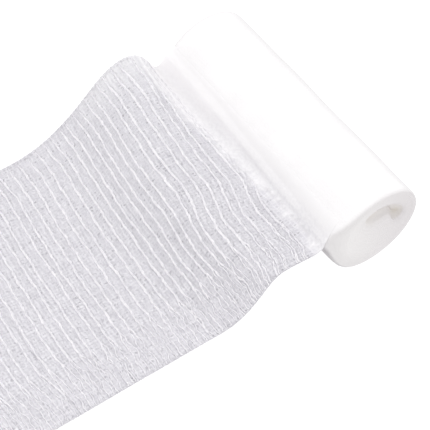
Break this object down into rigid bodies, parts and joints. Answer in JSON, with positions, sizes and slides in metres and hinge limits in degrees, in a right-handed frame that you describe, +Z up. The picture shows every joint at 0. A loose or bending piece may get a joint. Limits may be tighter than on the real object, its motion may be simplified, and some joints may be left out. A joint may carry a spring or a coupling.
{
  "type": "gauze bandage roll",
  "caption": "Soft coreless roll of open gauze bandage lying on its side, its loose end slack over a hump and then flat on the surface.",
  "frame": {"origin": "on the surface, at the middle of the roll's flat spot", "axes": "+X along the roll's axis, -Y the way the loose end runs out, +Z up"},
  "size_m": [0.1172, 0.1682, 0.0365],
  "materials": {
    "wound_gauze": "matte white cotton gauze, many turns deep",
    "open_gauze": "matte sheer white gauze, fine open mesh with heavier white threads across"
  },
  "bodies": {
    "root": {"wound_roll": "wound_gauze", "loose_end": "open_gauze"}
  },
  "joints": []
}
